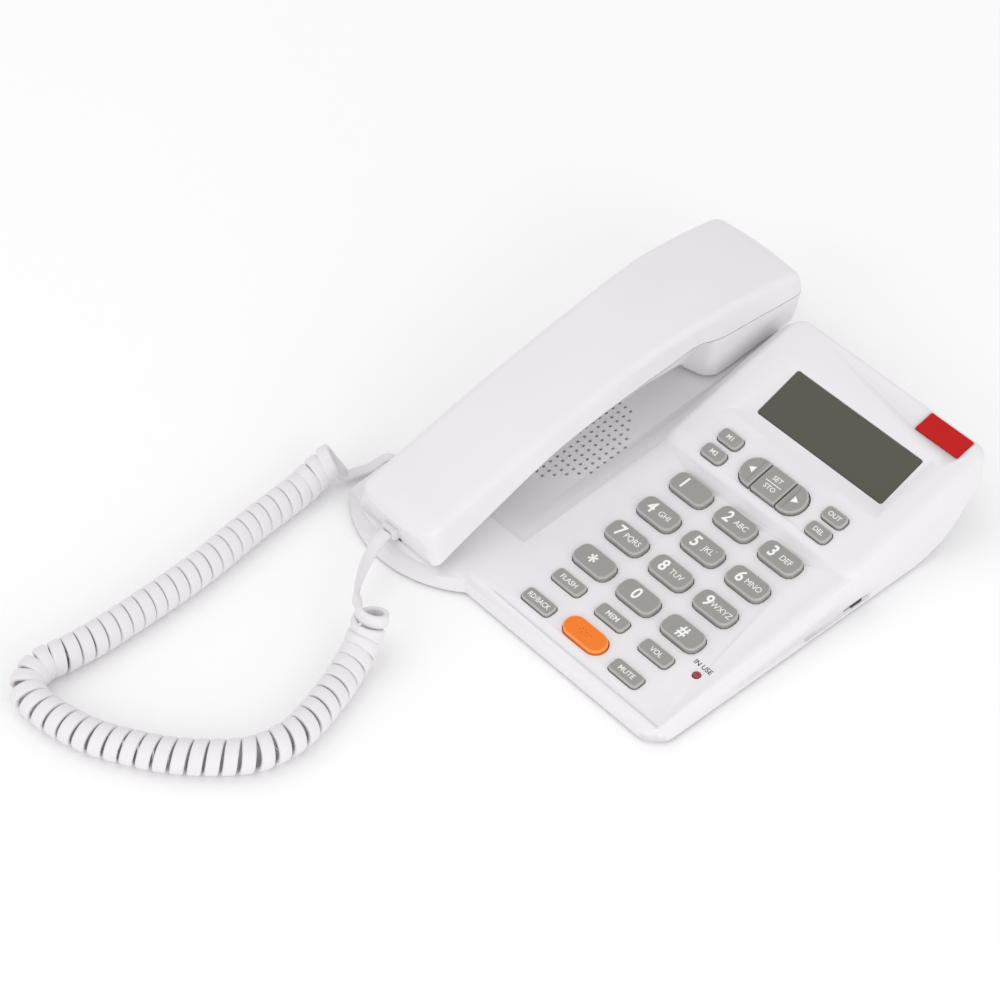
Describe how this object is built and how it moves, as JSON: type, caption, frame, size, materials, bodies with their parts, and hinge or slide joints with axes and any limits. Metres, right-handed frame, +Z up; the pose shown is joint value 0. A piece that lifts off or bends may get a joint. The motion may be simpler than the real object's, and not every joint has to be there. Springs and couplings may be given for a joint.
{
  "type": "corded landline phone",
  "caption": "Corded desk telephone: low white base with dial keypad and tilted display console, a handset lying in a channel on the left, and a curly cord between them.",
  "frame": {"origin": "on the surface the phone stands on, under the middle of the phone's outline, cord not counted", "axes": "+X towards the user's right, +Y towards the back edge behind the display, +Z up"},
  "size_m": [0.191, 0.3509, 0.0522],
  "materials": {
    "case_white": "moulded white plastic, fine satin grain",
    "handset_white": "moulded white plastic, smooth semi-gloss",
    "key_grey": "grey key plastic with white printed legends",
    "key_orange": "orange key plastic",
    "window_smoke": "smoke tinted flat display cover",
    "display_glass": "grey-green liquid crystal panel",
    "label_red": "glossy red plate",
    "lens_red": "clear red lamp",
    "board_green": "circuit board",
    "mat_grey": "silicone key mat",
    "socket_black": "dark moulded socket",
    "plug_clear": "clear modular plug",
    "cord_white": "flexible white cord jacket",
    "foot_rubber": "soft rubber",
    "screw_steel": "zinc-plated steel",
    "capsule_dark": "capsule housing"
  },
  "bodies": {
    "base": {"base_jack": "socket_black", "base_plug": "plug_clear", "bottom_case": "case_white", "case_screw_1": "screw_steel", "case_screw_2": "screw_steel", "case_screw_3": "screw_steel", "case_screw_4": "screw_steel", "console_mat": "mat_grey", "cord_base_end": "cord_white", "cord_coil": "cord_white", "display_board": "board_green", "foot_1": "foot_rubber", "foot_2": "foot_rubber", "foot_3": "foot_rubber", "foot_4": "foot_rubber", "in_use_led": "lens_red", "keypad_board": "board_green", "keypad_mat": "mat_grey", "label_plate": "label_red", "lcd_module": "display_glass", "lcd_window": "window_smoke", "line_jack": "socket_black", "loudspeaker": "capsule_dark", "top_case": "case_white"},
    "handset": {"handset_back_shell": "handset_white", "handset_front_shell": "handset_white", "earpiece": "capsule_dark", "microphone": "capsule_dark", "handset_jack": "socket_black", "handset_plug": "plug_clear", "cord_handset_end": "cord_white"},
    "hook_plunger_body": {"hook_plunger": "case_white"},
    "ringer_switch_body": {"ringer_switch": "socket_black"},
    "battery_door_body": {"battery_door": "case_white"},
    "key_1_body": {"key_1": "key_grey"},
    "key_2_body": {"key_2": "key_grey"},
    "key_3_body": {"key_3": "key_grey"},
    "key_4_body": {"key_4": "key_grey"},
    "key_5_body": {"key_5": "key_grey"},
    "key_6_body": {"key_6": "key_grey"},
    "key_7_body": {"key_7": "key_grey"},
    "key_8_body": {"key_8": "key_grey"},
    "key_9_body": {"key_9": "key_grey"},
    "key_star_body": {"key_star": "key_grey"},
    "key_0_body": {"key_0": "key_grey"},
    "key_hash_body": {"key_hash": "key_grey"},
    "key_flash_body": {"key_flash": "key_grey"},
    "key_memory_body": {"key_memory": "key_grey"},
    "key_volume_body": {"key_volume": "key_grey"},
    "key_redial_back_body": {"key_redial_back": "key_grey"},
    "key_mute_body": {"key_mute": "key_grey"},
    "key_speaker_body": {"key_speaker": "key_orange"},
    "key_m1_body": {"key_m1": "key_grey"},
    "key_m2_body": {"key_m2": "key_grey"},
    "key_out_body": {"key_out": "key_grey"},
    "key_delete_body": {"key_delete": "key_grey"},
    "key_left_body": {"key_left": "key_grey"},
    "key_set_body": {"key_set": "key_grey"},
    "key_right_body": {"key_right": "key_grey"}
  },
  "joints": [
    {"name": "handset_lift", "type": "slide", "parent": "base", "child": "handset", "axis": [0, 0, 1], "range_m": [0, 0.08]},
    {"name": "hook_rise", "type": "slide", "parent": "base", "child": "hook_plunger_body", "axis": [0, 0, 1], "range_m": [0, 0.004]},
    {"name": "ringer_slide", "type": "slide", "parent": "base", "child": "ringer_switch_body", "axis": [0, 1, 0], "range_m": [-0.003, 0.003]},
    {"name": "battery_door_slide", "type": "slide", "parent": "base", "child": "battery_door_body", "axis": [0, 1, 0], "range_m": [0, 0.045]},
    {"name": "press_1", "type": "slide", "parent": "base", "child": "key_1_body", "axis": [0, 0.0872, -0.9962], "range_m": [0, 0.001], "stiffness_N_per_m": 600, "springref_m": -0.0004},
    {"name": "press_2", "type": "slide", "parent": "base", "child": "key_2_body", "axis": [0, 0.0872, -0.9962], "range_m": [0, 0.001], "stiffness_N_per_m": 600, "springref_m": -0.0004},
    {"name": "press_3", "type": "slide", "parent": "base", "child": "key_3_body", "axis": [0, 0.0872, -0.9962], "range_m": [0, 0.001], "stiffness_N_per_m": 600, "springref_m": -0.0004},
    {"name": "press_4", "type": "slide", "parent": "base", "child": "key_4_body", "axis": [0, 0.0872, -0.9962], "range_m": [0, 0.001], "stiffness_N_per_m": 600, "springref_m": -0.0004},
    {"name": "press_5", "type": "slide", "parent": "base", "child": "key_5_body", "axis": [0, 0.0872, -0.9962], "range_m": [0, 0.001], "stiffness_N_per_m": 600, "springref_m": -0.0004},
    {"name": "press_6", "type": "slide", "parent": "base", "child": "key_6_body", "axis": [0, 0.0872, -0.9962], "range_m": [0, 0.001], "stiffness_N_per_m": 600, "springref_m": -0.0004},
    {"name": "press_7", "type": "slide", "parent": "base", "child": "key_7_body", "axis": [0, 0.0872, -0.9962], "range_m": [0, 0.001], "stiffness_N_per_m": 600, "springref_m": -0.0004},
    {"name": "press_8", "type": "slide", "parent": "base", "child": "key_8_body", "axis": [0, 0.0872, -0.9962], "range_m": [0, 0.001], "stiffness_N_per_m": 600, "springref_m": -0.0004},
    {"name": "press_9", "type": "slide", "parent": "base", "child": "key_9_body", "axis": [0, 0.0872, -0.9962], "range_m": [0, 0.001], "stiffness_N_per_m": 600, "springref_m": -0.0004},
    {"name": "press_star", "type": "slide", "parent": "base", "child": "key_star_body", "axis": [0, 0.0872, -0.9962], "range_m": [0, 0.001], "stiffness_N_per_m": 600, "springref_m": -0.0004},
    {"name": "press_0", "type": "slide", "parent": "base", "child": "key_0_body", "axis": [0, 0.0872, -0.9962], "range_m": [0, 0.001], "stiffness_N_per_m": 600, "springref_m": -0.0004},
    {"name": "press_hash", "type": "slide", "parent": "base", "child": "key_hash_body", "axis": [0, 0.0872, -0.9962], "range_m": [0, 0.001], "stiffness_N_per_m": 600, "springref_m": -0.0004},
    {"name": "press_flash", "type": "slide", "parent": "base", "child": "key_flash_body", "axis": [0, 0.0872, -0.9962], "range_m": [0, 0.001], "stiffness_N_per_m": 600, "springref_m": -0.0004},
    {"name": "press_memory", "type": "slide", "parent": "base", "child": "key_memory_body", "axis": [0, 0.0872, -0.9962], "range_m": [0, 0.001], "stiffness_N_per_m": 600, "springref_m": -0.0004},
    {"name": "press_volume", "type": "slide", "parent": "base", "child": "key_volume_body", "axis": [0, 0.0872, -0.9962], "range_m": [0, 0.001], "stiffness_N_per_m": 600, "springref_m": -0.0004},
    {"name": "press_redial_back", "type": "slide", "parent": "base", "child": "key_redial_back_body", "axis": [0, 0.0872, -0.9962], "range_m": [0, 0.001], "stiffness_N_per_m": 600, "springref_m": -0.0004},
    {"name": "press_mute", "type": "slide", "parent": "base", "child": "key_mute_body", "axis": [0, 0.0872, -0.9962], "range_m": [0, 0.001], "stiffness_N_per_m": 600, "springref_m": -0.0004},
    {"name": "press_speaker", "type": "slide", "parent": "base", "child": "key_speaker_body", "axis": [0, 0.0872, -0.9962], "range_m": [0, 0.001], "stiffness_N_per_m": 600, "springref_m": -0.0004},
    {"name": "press_m1", "type": "slide", "parent": "base", "child": "key_m1_body", "axis": [0, 0.23, -0.9732], "range_m": [0, 0.001], "stiffness_N_per_m": 600, "springref_m": -0.0004},
    {"name": "press_m2", "type": "slide", "parent": "base", "child": "key_m2_body", "axis": [0, 0.23, -0.9732], "range_m": [0, 0.001], "stiffness_N_per_m": 600, "springref_m": -0.0004},
    {"name": "press_out", "type": "slide", "parent": "base", "child": "key_out_body", "axis": [0, 0.23, -0.9732], "range_m": [0, 0.001], "stiffness_N_per_m": 600, "springref_m": -0.0004},
    {"name": "press_delete", "type": "slide", "parent": "base", "child": "key_delete_body", "axis": [0, 0.23, -0.9732], "range_m": [0, 0.001], "stiffness_N_per_m": 600, "springref_m": -0.0004},
    {"name": "press_left", "type": "slide", "parent": "base", "child": "key_left_body", "axis": [0, 0.23, -0.9732], "range_m": [0, 0.001], "stiffness_N_per_m": 600, "springref_m": -0.0004},
    {"name": "press_set", "type": "slide", "parent": "base", "child": "key_set_body", "axis": [0, 0.23, -0.9732], "range_m": [0, 0.001], "stiffness_N_per_m": 600, "springref_m": -0.0004},
    {"name": "press_right", "type": "slide", "parent": "base", "child": "key_right_body", "axis": [0, 0.23, -0.9732], "range_m": [0, 0.001], "stiffness_N_per_m": 600, "springref_m": -0.0004}
  ],
  "couplings": [
    {"joint": "hook_rise", "follows": "handset_lift", "ratio": 0.05}
  ]
}
